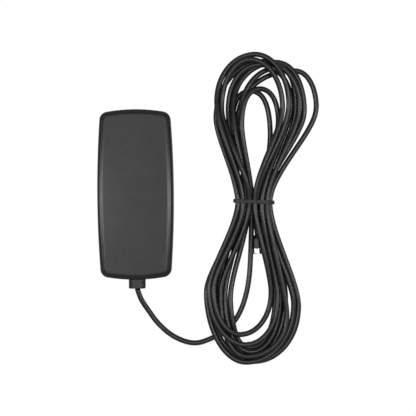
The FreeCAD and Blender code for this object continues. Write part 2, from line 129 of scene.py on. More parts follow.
def tint(tree, value, dark, light, start=0.3, end=0.7):
    """Colour from dark to light as value goes from start to end."""
    ramp = add(tree, "ShaderNodeValToRGB", None, {"Fac": value})
    ramp.color_ramp.elements[0].position = start
    ramp.color_ramp.elements[1].position = end
    ramp.color_ramp.elements[0].color = linear(dark)
    ramp.color_ramp.elements[1].color = linear(light)
    return ramp.outputs["Color"]


def vary(tree, shader, value, colours, rough, start=0.3, end=0.7):
    """Base colour and roughness, each from its first to its second as value goes from start to end."""
    tree.links.new(tint(tree, value, *colours, start, end), shader.inputs["Base Color"])
    tree.links.new(spread(tree, value, *rough, start, end), shader.inputs["Roughness"])


def relief(tree, shader, height, depth):
    """Bump of that depth, in metres, on the shader's normal."""
    bump = add(tree, "ShaderNodeBump", None, {"Height": height, "Distance": depth, "Strength": 1.0})
    tree.links.new(bump.outputs["Normal"], shader.inputs["Normal"])


def textured_abs():
    """Black ABS moulded against a spark-eroded steel face: a satin, even grain and no flow marks."""
    made, tree, shader = finish_of("spark_eroded_abs", IOR=1.5)
    point = object_point(tree)
    fine = grain(tree, point, 0.55 * MM, 3.0, 0.6)     # the real grit is 0.1 mm, drawn coarser to show
    broad = grain(tree, point, 9 * MM)
    both = add(tree, "ShaderNodeMath", {"operation": "MULTIPLY_ADD"},
               {0: broad, 1: 0.35, 2: fine}).outputs[0]
    tree.links.new(tint(tree, both, "#1b1c1d", "#333435", 0.45, 0.9), shader.inputs["Base Color"])
    tree.links.new(spread(tree, fine, 0.16, 0.22), shader.inputs["Roughness"])
    relief(tree, shader, fine, 0.005 * MM)
    return made


def plain_abs():
    """Black ABS from a sandblasted mould: flatter than the cover, with a finer grain."""
    made, tree, shader = finish_of("sandblasted_abs", IOR=1.5)
    fine = grain(tree, object_point(tree), 0.35 * MM)
    vary(tree, shader, fine, ("#262728", "#333435"), (0.48, 0.62))
    relief(tree, shader, fine, 0.012 * MM)
    return made


def moulded_pvc():
    """Soft black PVC moulded over the lead: smooth with a low, even gloss and slight sink waves."""
    made, tree, shader = finish_of("moulded_soft_pvc", IOR=1.53)
    wave = grain(tree, object_point(tree), 2.2 * MM)
    fine = grain(tree, object_point(tree), 0.25 * MM)
    tree.links.new(tint(tree, fine, "#252627", "#2f3031"), shader.inputs["Base Color"])
    tree.links.new(spread(tree, wave, 0.10, 0.18), shader.inputs["Roughness"])
    both = add(tree, "ShaderNodeMath", {"operation": "MULTIPLY_ADD"}, {0: wave, 1: 2.0, 2: fine}).outputs[0]
    relief(tree, shader, both, 0.004 * MM)
    return made


def extruded_pvc():
    """Black PVC jacket drawn through a die: a soft gloss with faint lines along the lead."""
    made, tree, shader = finish_of("extruded_pvc", IOR=1.58)
    drawn = grain(tree, run_point(tree, 0.02), 0.35 * MM)
    scuff = grain(tree, object_point(tree), 6 * MM, 3.0, 0.6)
    vary(tree, shader, scuff, ("#1d1e1f", "#272829"), (0.22, 0.32))
    relief(tree, shader, drawn, 0.001 * MM)
    return made


def cut_pvc():
    """The same PVC on the lead's stripped ends: a cut, slightly waxy jacket."""
    made, tree, shader = finish_of("cut_pvc_jacket", IOR=1.53)
    scuff = grain(tree, object_point(tree), 0.8 * MM)
    vary(tree, shader, scuff, ("#1a1b1c", "#262728"), (0.36, 0.50))
    relief(tree, shader, scuff, 0.01 * MM)
    return made


def coated_tie():
    """Black vinyl laminated over the tie's wire: a smooth satin with lines pressed along the ribbon."""
    made, tree, shader = finish_of("laminated_vinyl_tie", IOR=1.53)
    pressed = grain(tree, run_point(tree, 0.05), 0.3 * MM)
    scuff = grain(tree, object_point(tree), 1.5 * MM, 3.0, 0.6)
    vary(tree, shader, scuff, ("#292a2b", "#383939"), (0.16, 0.26))
    relief(tree, shader, pressed, 0.012 * MM)
    return made


def shrunk_polyolefin():
    """Black heat-shrink sleeve: glossy, with the slight orange peel that shrinking leaves."""
    made, tree, shader = finish_of("shrunk_polyolefin", IOR=1.5)
    peel = grain(tree, object_point(tree), 0.5 * MM)
    mottle = grain(tree, object_point(tree), 2.0 * MM)
    vary(tree, shader, mottle, ("#141516", "#1e1f20"), (0.20, 0.30))
    relief(tree, shader, peel, 0.010 * MM)
    return made


def acrylic_foam():
    """Closed-cell acrylic foam of a mounting tape: matt dark grey, pitted by its cells."""
    made, tree, shader = finish_of("acrylic_foam", IOR=1.48)
    cells = add(tree, "ShaderNodeTexVoronoi", None,
                {"Vector": object_point(tree), "Scale": 1 / (0.5 * MM)}).outputs["Distance"]
    vary(tree, shader, cells, ("#3a3a3b", "#505152"), (0.75, 0.95), 0.1, 0.7)
    relief(tree, shader, cells, 0.05 * MM)
    return made


def siliconised_film():
    """Red polyester release film with a silicone coat: thin and glossy, with long slack ripples."""
    made, tree, shader = finish_of("siliconised_film", IOR=1.6)
    slack = grain(tree, object_point(tree, (1, 0.25, 1)), 14 * MM, 1.0)
    streak = grain(tree, object_point(tree, (1, 0.05, 1)), 1.2 * MM)
    vary(tree, shader, streak, ("#c43a2a", "#d14c39"), (0.24, 0.36))
    relief(tree, shader, slack, 0.25 * MM)
    return made


def glass_fibre_board():
    """Glass-fibre laminate under green solder mask: a weak plain weave shows through the gloss."""
    made, tree, shader = finish_of("solder_masked_glass_fibre", IOR=1.55)
    weave = woven(tree, object_point(tree), 1.0 * MM)     # the bundles are 0.45 mm apart, drawn coarser
    vary(tree, shader, weave, ("#1d5a36", "#27693f"), (0.26, 0.36), 0.0, 1.0)
    relief(tree, shader, weave, 0.01 * MM)
    return made


def woven(tree, point, pitch):
    """Plain weave in X and Y: half of one plus the product of the two sines, so squares alternate."""
    parts = add(tree, "ShaderNodeSeparateXYZ", None, {0: point})
    waves = []
    for axis in ("X", "Y"):
        turn = add(tree, "ShaderNodeMath", {"operation": "MULTIPLY"},
                   {0: parts.outputs[axis], 1: math.pi / pitch})
        waves.append(add(tree, "ShaderNodeMath", {"operation": "SINE"}, {0: turn.outputs[0]}).outputs[0])
    both = add(tree, "ShaderNodeMath", {"operation": "MULTIPLY"}, {0: waves[0], 1: waves[1]}).outputs[0]
    return spread(tree, both, 0.0, 1.0, -1.0, 1.0)


def metal(name, dark, light, size, depth, rough, stretch=(1, 1, 1)):
    """A bare metal whose grain of that size, stretched along its working, varies its colour and gloss."""
    made, tree, shader = finish_of(name, Metallic=1.0)
    marks = grain(tree, object_point(tree, stretch), size, 3.0, 0.6)
    vary(tree, shader, marks, (dark, light), rough)
    relief(tree, shader, marks, depth)
    return made


BRAID_BUNDLES = 8.0           # each way round the braid
BRAID_PITCH = 0.9 * MM        # along it, from one bundle to the next
CABLE_AT_BOARD = (0.5 * MM, 0, 5.02 * MM)    # the axes of the lead's two stripped ends, which run along Y
CABLE_IN_PLUG = (64.35 * MM, 0, 2.8 * MM)


def braided_wire(name, centre):
    """Tinned copper braid round an axis along Y through centre: bundles cross at a slant, and each stands
    proud where it passes over. Its height is the greater of two sines, of the angle plus and minus the place
    along it. The colour darkens as that height falls, which is painted shade in the dips between bundles."""
    made, tree, shader = finish_of(name, Metallic=1.0)
    parts = add(tree, "ShaderNodeSeparateXYZ", None, {0: object_point(tree, centre=centre)})
    angle = add(tree, "ShaderNodeMath", {"operation": "ARCTAN2"},
                {0: parts.outputs["Z"], 1: parts.outputs["X"]})
    around = add(tree, "ShaderNodeMath", {"operation": "MULTIPLY"}, {0: angle.outputs[0], 1: BRAID_BUNDLES})
    waves = []
    for slant in (1, -1):
        turn = add(tree, "ShaderNodeMath", {"operation": "MULTIPLY_ADD"}, {
            0: parts.outputs["Y"], 1: slant * 2 * math.pi / BRAID_PITCH, 2: around.outputs[0]})
        waves.append(add(tree, "ShaderNodeMath", {"operation": "SINE"}, {0: turn.outputs[0]}).outputs[0])
    over = add(tree, "ShaderNodeMath", {"operation": "MAXIMUM"}, {0: waves[0], 1: waves[1]}).outputs[0]
    # colour follows the height: painted shade in the dips where a bundle passes under, the tin's own grey on
    # the crests
    tree.links.new(tint(tree, over, "#7d7c78", "#d2d1cc", 0.0, 0.9), shader.inputs["Base Color"])
    tree.links.new(spread(tree, over, 0.45, 0.28, 0.0, 1.0), shader.inputs["Roughness"])
    relief(tree, shader, over, 0.06 * MM)
    return made


def waxy_plastic(name, dark, light, size, rough, ior):
    """A milky natural plastic, extruded or turned: soft mottling under a low gloss."""
    made, tree, shader = finish_of(name, IOR=ior, Subsurface_Weight=0.15, Subsurface_Scale=0.5 * MM)
    mottle = grain(tree, object_point(tree), size, 3.0)
    vary(tree, shader, mottle, (dark, light), rough)
    relief(tree, shader, mottle, 0.006 * MM)
    return made


TURNED = (0.05, 1, 0.05)      # marks of a turned piece run round Y, and drawn wire's marks run along it
DRAWN = (1, 0.05, 1)
nickel = metal("bright_nickel_plate", "#d3d1cb", "#e8e6e1", 0.25 * MM, 0.001 * MM, (0.14, 0.22), TURNED)
gold = metal("flash_gold_plate", "#cfa24a", "#e2bd6b", 0.2 * MM, 0.003 * MM, (0.18, 0.28), TURNED)
etched_copper = metal("etched_copper_foil", "#a8623c", "#c47a4e", 0.6 * MM, 0.004 * MM, (0.30, 0.42),
                      DRAWN)
drawn_copper = metal("drawn_copper_wire", "#b46d43", "#cd8858", 0.12 * MM, 0.003 * MM, (0.24, 0.36),
                     DRAWN)
tin_solder = metal("reflowed_tin_solder", "#b9babb", "#d9dadb", 0.5 * MM, 0.02 * MM, (0.20, 0.38))
steel_wire = metal("annealed_steel_wire", "#6f7072", "#8d8f91", 0.2 * MM, 0.004 * MM, (0.35, 0.5))
polyethylene = waxy_plastic("extruded_polyethylene", "#dcdcd4", "#eaeae3", 1.0 * MM, (0.36, 0.46), 1.51)
ptfe = waxy_plastic("turned_ptfe", "#e6e6e1", "#f1f1ed", 0.6 * MM, (0.45, 0.58), 1.35)
jacket_stub = cut_pvc()

MATERIALS = {
    "top_cover": textured_abs(),
    "base_cover": plain_abs(),
    "strain_relief": moulded_pvc(),
    "mounting_tape": acrylic_foam(),
    "release_liner": siliconised_film(),
    "antenna_board": glass_fibre_board(),
    "radiator_copper": etched_copper,
    "ground_copper": etched_copper,
    "feed_solder": tin_solder,
    "ground_solder": tin_solder,
    "cable_jacket_end": jacket_stub,
    "cable_braid_end": braided_wire("tinned_braid_at_board", CABLE_AT_BOARD),
    "cable_dielectric_end": polyethylene,
    "cable_core_end": drawn_copper,
    "crimp_ferrule": nickel,
    "plug_shell": nickel,
    "plug_spring": gold,
    "plug_contact": gold,
    "plug_insulator": ptfe,
    "plug_jacket_end": jacket_stub,
    "plug_braid_end": braided_wire("tinned_braid_in_plug", CABLE_IN_PLUG),
    "plug_dielectric_end": polyethylene,
    "plug_core_end": drawn_copper,
}
lead_finish = extruded_pvc()
tie_finish = coated_tie()
sleeve_finish = shrunk_polyolefin()

for name, material in MATERIALS.items():
    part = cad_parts[name]
    part.data.materials.clear()
    part.data.materials.append(material)


# --------------------------------------------------------------------------------------------- mesh building

def make_mesh(name, points, faces, material):
    """A smooth object at the origin with those points, in metres, and faces."""
    mesh = bpy.data.meshes.new(name)
    mesh.from_pydata(points.tolist(), [], faces)
    mesh.polygons.foreach_set("use_smooth", np.ones(len(mesh.polygons), bool))
    mesh.materials.append(material)
    mesh.update()
    made = bpy.data.objects.new(name, mesh)
    bpy.context.scene.collection.objects.link(made)
    return made


def even_angles(sides):
    """That many even angles round a circle."""
    return np.arange(sides) / sides * 2 * np.pi


def ring_quads(rings, sides, closed=False):
    """Faces between rings of that many points each, from one ring to the next, and back round if closed."""
    ring, side = np.meshgrid(np.arange(rings if closed else rings - 1), np.arange(sides), indexing="ij")
    beyond, after = (ring + 1) % rings, (side + 1) % sides
    return np.stack([ring * sides + side, beyond * sides + side,
                     beyond * sides + after, ring * sides + after], -1).reshape(-1, 4)


# ---------------------------------------------------------------------------------------- the tie's measures

TIE_X = 62.6 * MM                       # where its two ends meet, under the hank
TIE_Y = -4.2 * MM
TIE_SLOPE = math.tan(math.radians(-2.8))
TIE_WIDTH = 2.1 * MM
TIE_THICKNESS = 0.65 * MM
TIE_SAG = 0.6                           # how far it follows the dip between two passes
TIE_SPREAD = 1.05                       # the ribbon stands off the lead a little at its two sides
TIE_FILM = 0.45                         # thickness of its flanges, as a share of that over the wire
TIE_RIB = 0.42                          # width of the rib over the wire, as a share of the ribbon's
TIE_POINTS, TIE_SIDES = 160, 24         # along the ribbon and round it
WIRE_RADIUS = 0.2 * MM
WIRE_SIDES = 10
TWIST_START_Y = TIE_Y - 0.3 * MM
TWIST_END_Y = -13.1 * MM
TWIST_PITCH = 3.4 * MM
TWIST_WAIST = 0.30                      # how far the twist narrows between its two lobes

# -------------------------------------------------------------------------------------------------- the lead

JACKET = 2.8                 # these lengths are in millimetres, and so is the settling
LYING = JACKET / 2           # height of the lead's middle where it lies on the surface
CLEAR = 0.04                 # space kept between the lead and the plug or the tie's twisted end
WAIST_Y = -4.4               # where the tie holds the hank
WAIST_SPAN = (54.2, 70.8)    # X between which the tie holds the lead's passes
WAIST_REACH = 2.2            # and how far along Y from the waist it does so
ROW_HEIGHTS = (2.05, 4.35, 6.6)      # of the waist's three rows
ROW_SLACK = 0.05             # how far a pass may rise above the top row
LEAST_RADIUS = 9.0           # of a bend in the control points
SIDE_REACH = 0.55            # handle length at a loop's side, as a share of its leg
CLIMB_SHARE = 0.45           # of the run beside the waist, over which a loop rises to its layer
LAYER_RISE = 2.9             # from one layer to the next before they settle
SAMPLES = 5                  # points on each span of the spline
FIXED_POINTS = 15            # control points from the strain relief on that stay where they are
SAME_PASS = 14               # points this near along the lead are one pass and don't push
SEARCH_ROUNDS = 8            # pairs are looked for again after this many rounds
SEARCH_MARGIN = 1.2          # and this much further apart than they push
SOLID_SEARCH = 8.0           # points this near a solid are tested against it
SIDEWAYS = (0.4, 0.4, 1.0)   # passes push each other less to the side than up and down
PUSH_GAIN = 1.6              # more than one, so that fewer rounds are needed
BEND_SHARE = 0.25            # of a bend's excess that one round takes out
TIE_PULL = 0.25              # share of the way back to its place in the waist in one round
LONGEST_MOVE = 0.6           # of a control point in one round
SOLID_STEP = 0.7             # from one sphere to the next in the plug and in the tie's twisted end
PLUG_RADIUS = 2.8
TWIST_RADIUS = 0.87          # of the tie's twisted end, which lies on the surface
TWIST_ROOM = 0.9             # radius that the lead keeps free round it
TWIST_SPAN = (-5.0, -13.2)   # and where it does so along Y
LEAD_SIDES = 18

# the lead from the strain relief to the hank, and its first run in the hank up to the waist, in metres
LEAD_ROUTE = (
    (0.0005, -0.0497, 0.00502), (0.0019, -0.0549, 0.0044), (0.0056, -0.0606, 0.0028),
    (0.0110, -0.0686, 0.0014), (0.0194, -0.0760, 0.0014), (0.0306, -0.0800, 0.0014),
    (0.0404, -0.0765, 0.0014), (0.0475, -0.0723, 0.0014), (0.0526, -0.0670, 0.0014),
    (0.0562, -0.0600, 0.0014), (0.0586, -0.0520, 0.0014), (0.0600, -0.0435, 0.0014),
    (0.0606, -0.0350, 0.0014), (0.0609, -0.0265, 0.0016), (0.0612, -0.0180, 0.0026),
    (0.0615, -0.0105, 0.0038),
)
# and its last run, from the waist into the plug
PLUG_ROUTE = ((0.0635, -0.0110, 0.0039), (0.0637, -0.0170, 0.0030), (0.06435, -0.0219, 0.0028))

# each half turn: its layer from the surface up, then the side it leaves by, its far end and the side it
# returns by
UPPER_LOOPS = (
    (5, (56.0, 37.0), (66.0, 55.7), (76.0, 38.5)),
    (0, (51.5, 38.0), (61.2, 55.0), (71.6, 32.0)),
    (1, (56.0, 41.5), (76.5, 67.0), (84.9, 45.0)),
    (0, (54.0, 40.0), (84.0, 65.9), (96.2, 45.5)),
    (2, (51.5, 47.0), (73.0, 69.5), (89.4, 43.0)),
    (4, (49.5, 45.5), (65.5, 68.5), (83.5, 48.0)),
    (6, (42.7, 41.0), (67.8, 70.0), (87.3, 46.0)),
    (7, (45.2, 45.0), (60.8, 71.0), (78.5, 45.0)),
    (8, (43.5, 50.0), (63.2, 74.0), (81.3, 47.5)),
)
LOWER_LOOPS = (
    (0, (74.0, -55.5), (60.0, -82.5), (49.0, -57.0)),
    (1, (76.5, -56.5), (61.0, -84.0), (47.0, -53.5)),
    (2, (78.0, -56.5), (61.5, -86.8), (43.2, -53.0)),
    (3, (86.0, -60.5), (62.5, -89.0), (38.5, -53.5)),
    (4, (83.6, -59.5), (58.3, -89.6), (37.7, -53.5)),
    (6, (75.0, -56.5), (58.0, -80.0), (38.5, -51.0)),
    (5, (79.8, -66.0), (58.8, -86.3), (45.0, -52.0)),
    (7, (71.5, -53.0), (55.0, -74.7), (40.5, -51.0)),
)
# where each pass crosses the waist, and in which row: those that go up, then those that come down
GOING_UP = (
    (61.5, 1), (60.5, 0), (56.9, 0), (54.3, 0), (58.0, 1), (55.0, 1), (54.3, 2), (60.4, 2), (56.5, 2))
GOING_DOWN = (
    (65.2, 0), (67.9, 0), (70.4, 0), (70.6, 1), (67.9, 1), (66.7, 2), (69.6, 2), (63.1, 2), (64.2, 1))


def bezier(start, start_way, end, end_way, start_reach, end_reach, count):
    """Points of a cubic Bezier curve from start up to but without end, with handles along the two ways."""
    start, end = np.array(start, float), np.array(end, float)
    first = start + np.array(start_way, float) * start_reach
    second = end - np.array(end_way, float) * end_reach
    t = (np.arange(count) / count)[:, None]
    return (1 - t) ** 3 * start + 3 * (1 - t) ** 2 * t * first + 3 * (1 - t) * t**2 * second + t**3 * end


def far_reach(run, rise):
    """Handle length at a loop's far end that keeps the bend there at the least radius."""
    return min(run, max(SIDE_REACH * run, math.sqrt(2 * LEAST_RADIUS * (1 - SIDE_REACH) * rise / 3)))


def ease(t):
    """0 below 0, 1 above 1, and a smooth step between."""
    t = np.clip(t, 0, 1)
    return t * t * (3 - 2 * t)


def half_turn(enter, leave, loop, way):
    """One half of a turn as four Bezier spans: out from the waist, round both sides of the far end, and
    back. It climbs from its row at the waist to its layer in the loop and down again."""
    waist_reach, side_leg = 0.30, 0.25
    counts = (8, 5, 6, 8)
    layer, near_side, far, back_side = loop
    out_leg, back_leg = abs(near_side[1] - WAIST_Y), abs(back_side[1] - WAIST_Y)
    rise, fall = abs(far[1] - near_side[1]), abs(far[1] - back_side[1])
    run, rerun = abs(far[0] - near_side[0]), abs(back_side[0] - far[0])
    away, home = (0, way), (0, -way)
    across = (math.copysign(1, back_side[0] - near_side[0]), 0)
    plan = np.concatenate([
        bezier((enter[0], WAIST_Y), away, near_side, away,
               waist_reach * out_leg, side_leg * out_leg, counts[0]),
        bezier(near_side, away, far, across, SIDE_REACH * rise, far_reach(run, rise), counts[1]),
        bezier(far, across, back_side, home, far_reach(rerun, fall), SIDE_REACH * fall, counts[2]),
        bezier(back_side, home, (leave[0], WAIST_Y), home,
               side_leg * back_leg, waist_reach * back_leg, counts[3]),
    ])
    top = LYING + LAYER_RISE * (layer + 1)
    start, end = ROW_HEIGHTS[enter[1]], ROW_HEIGHTS[leave[1]]
    climb = start + (top - start) * ease(np.arange(counts[0]) / counts[0] / CLIMB_SHARE)
    drop = top + (end - top) * ease((np.arange(counts[3]) / counts[3] - (1 - CLIMB_SHARE)) / CLIMB_SHARE)
    height = np.concatenate([climb, np.full(counts[1] + counts[2], top), drop])
    return np.column_stack([plan, height])


def wound_lead():
    """Control points of the whole lead before it settles, and which of them lie in the waist: the upper and
    the lower half turns follow each other, and each starts in the waist."""
    parts = [np.array(LEAD_ROUTE) / MM]
    waist = []
    for turn, loop in enumerate(UPPER_LOOPS):
        waist.append(sum(map(len, parts)))
        parts.append(half_turn(GOING_UP[turn], GOING_DOWN[turn], loop, 1))
        waist.append(sum(map(len, parts)))
        if turn < len(LOWER_LOOPS):
            parts.append(half_turn(GOING_DOWN[turn], GOING_UP[turn + 1], LOWER_LOOPS[turn], -1))
    parts.append(np.array([[GOING_DOWN[-1][0], WAIST_Y, ROW_HEIGHTS[GOING_DOWN[-1][1]]]]))
    parts.append(np.array(PLUG_ROUTE) / MM)
    return np.concatenate(parts), np.array(waist)


steps = np.arange(SAMPLES) / SAMPLES
SHARES = np.stack([(1 - steps) ** 2 / 2, (1 + 2 * steps - 2 * steps**2) / 2, steps**2 / 2], 1)


def along(controls):
    """Points on the quadratic B-spline of those control points, SAMPLES on each span."""
    spans = np.stack([controls[:-2], controls[1:-1], controls[2:]], 1)
    return np.einsum("kj,sjd->skd", SHARES, spans).reshape(-1, 3)


def to_controls(moves, count):
    """Moves of the points on the spline, shared out to its control points as the spline weighs them."""
    shared = np.einsum("kj,skd->jsd", SHARES, moves.reshape(-1, SAMPLES, 3))
    total, weight = np.zeros((count, 3)), np.zeros(count)
    for j in range(3):
        total[j:count - 2 + j] += shared[j]
        weight[j:count - 2 + j] += SHARES[:, j].sum()
    return total / weight[:, None]


def close_pairs(points, reach):
    """Pairs of points nearer than reach that aren't neighbours along the lead."""
    p = points.astype(np.float32)
    square = (p * p).sum(1)
    i, j = np.nonzero(square[:, None] + square - 2 * p @ p.T < reach * reach)
    apart = j - i > SAME_PASS
    return i[apart], j[apart]


def summed(index, values, count):
    """Sum of the values that fall on each index."""
    return np.stack([np.bincount(index, values[:, k], count) for k in range(3)], 1)


def settle(controls, wound, waist, free, solids, rounds, weight, hold, stiffness, spacing):
    """Lets the wound lead settle: each round, passes nearer than spacing push each other apart, mostly up
    and down, the surface and the solids push back, weight pulls down, the plan is drawn towards how it was
    wound, bends straighten a little, those tighter than the least radius open, and the tie holds the waist.
    """
    centres, radii = solids
    for count in range(rounds):
        points = along(controls)
        if count % SEARCH_ROUNDS == 0:
            first, second = close_pairs(points, spacing + SEARCH_MARGIN)
            beside = np.nonzero(((points[:, None] - centres) ** 2).sum(2).min(1) < SOLID_SEARCH**2)[0]
        gap = points[second] - points[first]
        distance = np.linalg.norm(gap, axis=1)
        tight = distance < spacing
        i, j, gap, distance = first[tight], second[tight], gap[tight], distance[tight]
        way = gap / np.maximum(distance, 1e-6)[:, None] * SIDEWAYS
        way /= np.maximum(np.linalg.norm(way, axis=1), 1e-9)[:, None]
        push = way * ((spacing - distance) / 2)[:, None]
        total = len(points)
        met = np.bincount(i, minlength=total) + np.bincount(j, minlength=total)
        moves = (summed(j, push, total) - summed(i, push, total)) / np.sqrt(np.maximum(met, 1))[:, None]
        gap = points[beside][:, None] - centres
        distance = np.linalg.norm(gap, axis=2)
        lack = np.maximum(radii + LYING + CLEAR - distance, 0)
        row, worst = np.arange(len(beside)), lack.argmax(1)
        share = lack[row, worst] / np.maximum(distance[row, worst], 1e-6)
        moves[beside] += gap[row, worst] * share[:, None]
        moves[:, 2] += np.maximum(LYING - points[:, 2], 0)

        change = to_controls(moves, len(controls)) * PUSH_GAIN
        change[:, :2] += (wound - controls)[:, :2] * hold
        change[:, 2] -= weight
        shifted = controls - wound
        change[1:-1, :2] += ((shifted[:-2] + shifted[2:]) / 2 - shifted[1:-1])[:, :2] * stiffness
        lag = np.zeros(len(controls))
        lag[1:-1] = ((controls[:-2] + controls[2:]) / 2 - controls[1:-1])[:, 2]
        change[1:-1, 2] += (lag[1:-1] - (lag[:-2] + lag[2:]) / 2) * stiffness
        bow = controls[:-2] - 2 * controls[1:-1] + controls[2:]
        legs = np.linalg.norm(np.diff(controls, axis=0), axis=1)
        most = ((legs[:-1] + legs[1:]) / 2) ** 2 / LEAST_RADIUS
        size = np.linalg.norm(bow, axis=1)
        excess = bow * (np.maximum(size - most, 0) / np.maximum(size, 1e-6))[:, None] * BEND_SHARE
        change[1:-1] += excess
        change[:-2] -= excess / 2
        change[2:] -= excess / 2
        change[waist] += (wound - controls)[waist] * TIE_PULL
        change[~free] = 0
        controls = controls + np.clip(change, -LONGEST_MOVE, LONGEST_MOVE)
        controls[:, 2] = np.maximum(controls[:, 2], LYING)
        tied = np.abs(controls[:, 1] - WAIST_Y) < WAIST_REACH
        controls[tied, 0] = np.clip(controls[tied, 0], *WAIST_SPAN)
        controls[tied, 2] = np.clip(controls[tied, 2], ROW_HEIGHTS[0], ROW_HEIGHTS[2] + ROW_SLACK)
    return controls


def settled_lead():
    """The lead's control points in metres, after it has settled round the plug and the tie's twisted end."""
    wound, waist = wound_lead()
    free = np.ones(len(wound), bool)
    free[:FIXED_POINTS] = False
    free[-len(PLUG_ROUTE):] = False
    boot_low, boot_high = (np.array(corner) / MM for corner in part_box("plug_boot"))
    plug_y = np.arange(boot_high[1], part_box("plug_shell")[0][1] / MM, -SOLID_STEP)
    plug_x, _, plug_z = (boot_low + boot_high) / 2
    tail_y = np.arange(*TWIST_SPAN, -SOLID_STEP)
    centres = np.concatenate([
        np.column_stack([np.full(len(plug_y), plug_x), plug_y, np.full(len(plug_y), plug_z)]),
        np.column_stack([np.full(len(tail_y), TIE_X / MM), tail_y, np.full(len(tail_y), TWIST_RADIUS)])])
    radii = np.concatenate([np.full(len(plug_y), PLUG_RADIUS), np.full(len(tail_y), TWIST_ROOM)])
    controls = wound
    # fast fall, slower settling, then a last rest without weight: rounds, weight, hold, stiffness, spacing
    stages = ((350, 0.10, 0.05, 0.30, 2.84), (200, 0.03, 0.03, 0.30, 2.84), (150, 0.0, 0.012, 0.25, 2.86))
    for stage in stages:
        controls = settle(controls, wound, waist, free, (centres, radii), *stage)
    return controls * MM


def lead_line(controls):
    """The lead's centreline: points of one open NURBS spline of order 3 with those control points."""
    curve = bpy.data.curves.new("lead_line", "CURVE")
    curve.dimensions = "3D"
    spline = curve.splines.new("NURBS")
    spline.points.add(len(controls) - 1)
    spline.points.foreach_set("co", np.column_stack([controls, np.ones(len(controls))]).ravel())
    spline.order_u = 3
    spline.use_endpoint_u = True
    spline.resolution_u = 7
    holder = bpy.data.objects.new("lead_line", curve)
    bpy.context.scene.collection.objects.link(holder)
    line = bpy.data.meshes.new_from_object(holder)
    points = np.zeros(len(line.vertices) * 3)
    line.vertices.foreach_get("co", points)
    bpy.data.objects.remove(holder)
    bpy.data.curves.remove(curve)
    return points.reshape(-1, 3)


def swept(name, line, section, axis, material):
    """A section carried along line: each ring is the line's point plus the section's two lengths, one along
    level, which is square to the line and to axis, and one along the direction square to line and level. A
    section for every point may be given too. The ends are closed. Its UV map, in metres, goes round the
    piece in U and along it in V."""
    way = np.gradient(line, axis=0)
    way /= np.linalg.norm(way, axis=1)[:, None]
    level = np.cross(way, axis)
    level /= np.linalg.norm(level, axis=1)[:, None]
    square = np.cross(level, way)
    count, sides = len(line), section.shape[-2]
    section = np.broadcast_to(section, (count, sides, 2))
    rings = line[:, None] + section[..., :1] * level[:, None] + section[..., 1:] * square[:, None]
    quads = ring_quads(count, sides)
    last = (count - 1) * sides
    faces = quads.tolist() + [list(range(sides)), list(range(last + sides - 1, last - 1, -1))]
    made = make_mesh(name, rings.reshape(-1, 3), faces, material)
    edges = np.linalg.norm(np.roll(section[0], -1, 0) - section[0], axis=1)
    around = np.concatenate([[0], np.cumsum(edges)])
    distance = np.concatenate([[0], np.cumsum(np.linalg.norm(np.diff(line, axis=0), axis=1))])
    ring, side = np.divmod(quads, sides)
    side[:, 2:] = side[:, 1:2] + 1               # at the seam U goes on to the whole way round
    uv = np.concatenate([np.column_stack([around[side].ravel(), distance[ring].ravel()]),
                         np.zeros((2 * sides, 2))])
    layer = made.data.uv_layers.new(name="run")
    layer.data.foreach_set("uv", uv.astype(np.float32).ravel())
    return made


def circle(radius, sides):
    """A round section: radius times the cosine and sine of even angles."""
    angle = even_angles(sides)
    return radius * np.column_stack([np.cos(angle), np.sin(angle)])


line = lead_line(settled_lead())
coax_lead = swept("coax_lead", line, circle(LYING * MM, LEAD_SIDES), (0, 0, 1), lead_finish)
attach(coax_lead, "root")
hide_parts("cable_lead", "cable_hank", "cable_plug_end")

# --------------------------------------------------------------------------------------------------- the tie

def crossings(line, y):
    """Where line crosses the plane at y: X and Z, between the two points on either side."""
    before, after = line[:-1], line[1:]
    passes = np.nonzero((before[:, 1] - y) * (after[:, 1] - y) < 0)[0]
    share = (y - before[passes, 1]) / (after[passes, 1] - before[passes, 1])
    return (before[passes] + (after[passes] - before[passes]) * share[:, None])[:, [0, 2]]


def tie_path(line, count):
    """The ribbon's centreline round the waist, as a taut band lies: for each direction, the point furthest
    out on the circles round the lead's passes, let in a little where it bridges two, and then smoothed. It
    starts and ends below."""
    middles = crossings(line, TIE_Y)
    reach = LYING * MM + TIE_THICKNESS / 2
    angle = np.linspace(-np.pi / 2, -5 * np.pi / 2, 721)     # every half degree, from straight down
    out = np.column_stack([np.cos(angle), np.sin(angle)])
    band = middles[(middles @ out.T).argmax(0)] + out * reach
    bottom = band[:, 1].min()
    band = np.concatenate([[[TIE_X, bottom]], band, [[TIE_X, bottom]]])
    distance = np.concatenate([[0], np.cumsum(np.linalg.norm(np.diff(band, axis=0), axis=1))])
    even = np.linspace(0, distance[-1], count)
    x, z = (np.interp(even, distance, band[:, k]) for k in range(2))
    gap = np.hypot(x[:, None] - middles[:, 0], z[:, None] - middles[:, 1]).min(1) - reach
    z -= np.sign(z - middles[:, 1].mean()) * TIE_SAG * gap
    x = TIE_X + (x - TIE_X) * TIE_SPREAD
    for _ in range(3):
        x[1:-1], z[1:-1] = ((v[:-2] + 2 * v[1:-1] + v[2:]) / 4 for v in (x, z))
    return np.column_stack([x, TIE_Y + (x - TIE_X) * TIE_SLOPE, z])


def ribbon_section(sides):
    """Thin flanges with a rib over the wire: thickness is a thin film plus a bell curve of the width, and
    both edges are round."""
    angle = even_angles(sides)
    across = np.sin(angle)
    half = TIE_THICKNESS / 2 * (TIE_FILM + (1 - TIE_FILM) * np.exp(-(across / TIE_RIB) ** 2))
    return np.column_stack([np.sign(np.cos(angle)) * np.abs(np.cos(angle)) ** 0.4 * half,
                            TIE_WIDTH / 2 * across])


